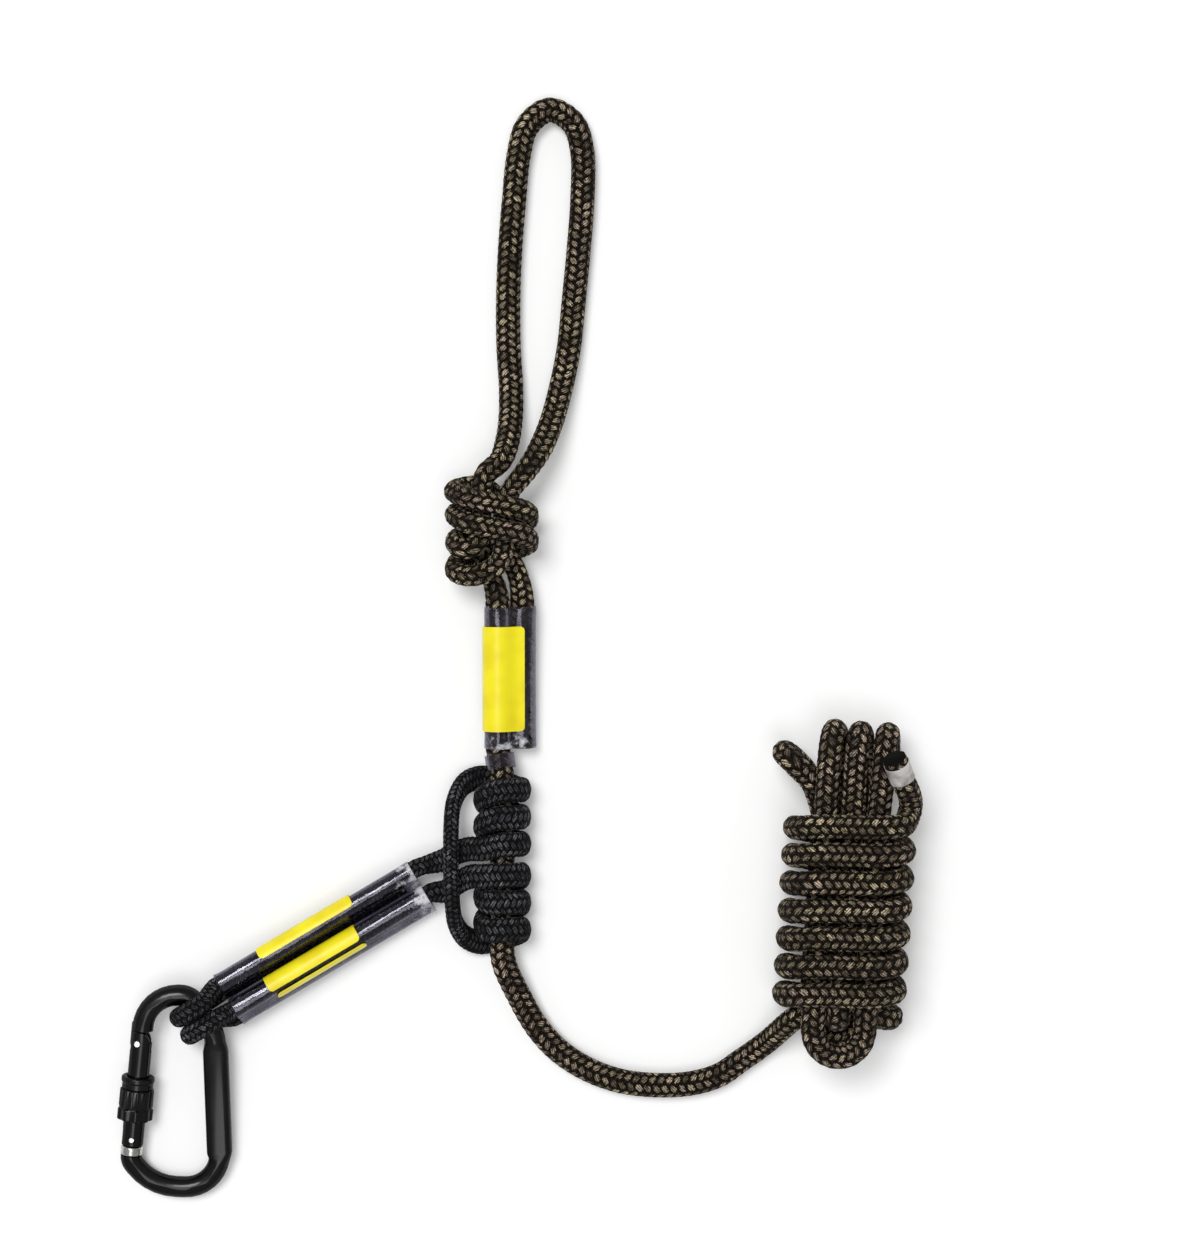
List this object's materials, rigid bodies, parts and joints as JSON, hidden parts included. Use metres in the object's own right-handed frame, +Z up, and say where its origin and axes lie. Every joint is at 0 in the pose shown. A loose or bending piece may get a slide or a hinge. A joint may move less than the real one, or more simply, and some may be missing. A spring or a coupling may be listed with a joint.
{
  "type": "tree stand safety rope",
  "caption": "Dark braided safety rope with a knotted tree loop, a friction hitch on a short tether, a screw-lock carabiner and a stowed hank of rope.",
  "frame": {"origin": "centre of the laid-out object's bounding box, on the surface it lies on", "axes": "+Y from the hitch towards the tree loop, +X towards the hank, +Z up from the surface"},
  "size_m": [0.3968, 0.5478, 0.0656],
  "materials": {
    "tree_loop": "braided, dark brown with tan flecks",
    "standing_rope": "braided, dark brown with tan flecks",
    "rope_hank": "braided, dark brown with tan flecks",
    "rope_end_tape": "wrapped tape, worn white",
    "splice_sleeve": "clear shrunk film",
    "rope_label": "smooth yellow film",
    "neck_sleeve": "clear shrunk film",
    "prusik_hitch": "braided, black",
    "upper_leg": "braided, black",
    "lower_leg": "braided, black",
    "upper_core": "braided, black",
    "lower_core": "braided, black",
    "upper_tail": "braided, black",
    "lower_tail": "braided, black",
    "upper_sleeve": "clear shrunk film",
    "lower_sleeve": "clear shrunk film",
    "upper_label": "smooth yellow film",
    "lower_label": "smooth yellow film",
    "upper_eye": "braided, black",
    "lower_eye": "braided, black",
    "carabiner_body": "black anodised, satin",
    "hinge_rivet": "bright",
    "nose_ring": "bright",
    "gate": "black anodised, satin",
    "latch_pin": "bright",
    "gate_spring": "bright",
    "spring_plunger": "bright",
    "sleeve_collar": "black anodised, satin",
    "lock_sleeve": "black anodised, satin"
  },
  "bodies": {
    "line": {"tree_loop": "tree_loop", "standing_rope": "standing_rope", "rope_hank": "rope_hank", "rope_end_tape": "rope_end_tape", "splice_sleeve": "splice_sleeve", "rope_label": "rope_label", "neck_sleeve": "neck_sleeve"},
    "hitch": {"prusik_hitch": "prusik_hitch"},
    "tether": {"upper_leg": "upper_leg", "lower_leg": "lower_leg", "upper_core": "upper_core", "lower_core": "lower_core", "upper_tail": "upper_tail", "lower_tail": "lower_tail", "upper_sleeve": "upper_sleeve", "lower_sleeve": "lower_sleeve", "upper_label": "upper_label", "lower_label": "lower_label", "upper_eye": "upper_eye", "lower_eye": "lower_eye"},
    "carabiner": {"carabiner_body": "carabiner_body", "hinge_rivet": "hinge_rivet", "nose_ring": "nose_ring"},
    "gate": {"gate": "gate", "latch_pin": "latch_pin", "gate_spring": "gate_spring", "spring_plunger": "spring_plunger"},
    "lock_carrier": {"sleeve_collar": "sleeve_collar"},
    "lock": {"lock_sleeve": "lock_sleeve"}
  },
  "joints": [
    {"name": "hitch_slide", "type": "slide", "parent": "line", "child": "hitch", "axis": [0, -1, 0], "range_m": [0, 0.005]},
    {"name": "tether_swing", "type": "hinge", "parent": "hitch", "child": "tether", "pos_m": [-0.03863, -0.11281, 0.0099], "axis": [0, 0, 1], "range_deg": [-25, 8], "deforming": ["upper_leg", "lower_leg"]},
    {"name": "carabiner_turn", "type": "hinge", "parent": "tether", "child": "carabiner", "pos_m": [-0.15598, -0.18194, 0.0159], "axis": [-0.5098, 0.8544, 0.1004], "range_deg": [0, 60]},
    {"name": "gate_swing", "type": "hinge", "parent": "carabiner", "child": "gate", "pos_m": [-0.18798, -0.19534, 0.01432], "axis": [0, -0.1167, 0.9932], "range_deg": [0, 25], "stiffness_Nm_per_rad": 0.05, "springref_deg": -40.11},
    {"name": "lock_travel", "type": "slide", "parent": "gate", "child": "lock_carrier", "axis": [-0.1045, -0.9877, -0.116], "range_m": [0, 0.015]},
    {"name": "lock_turn", "type": "hinge", "parent": "lock_carrier", "child": "lock", "pos_m": [-0.18649, -0.1955, 0.01431], "axis": [-0.1045, -0.9877, -0.116], "range_deg": [0, 2160]}
  ],
  "couplings": [
    {"joint": "lock_turn", "follows": "lock_travel", "rad_per_m": 2513.3}
  ]
}
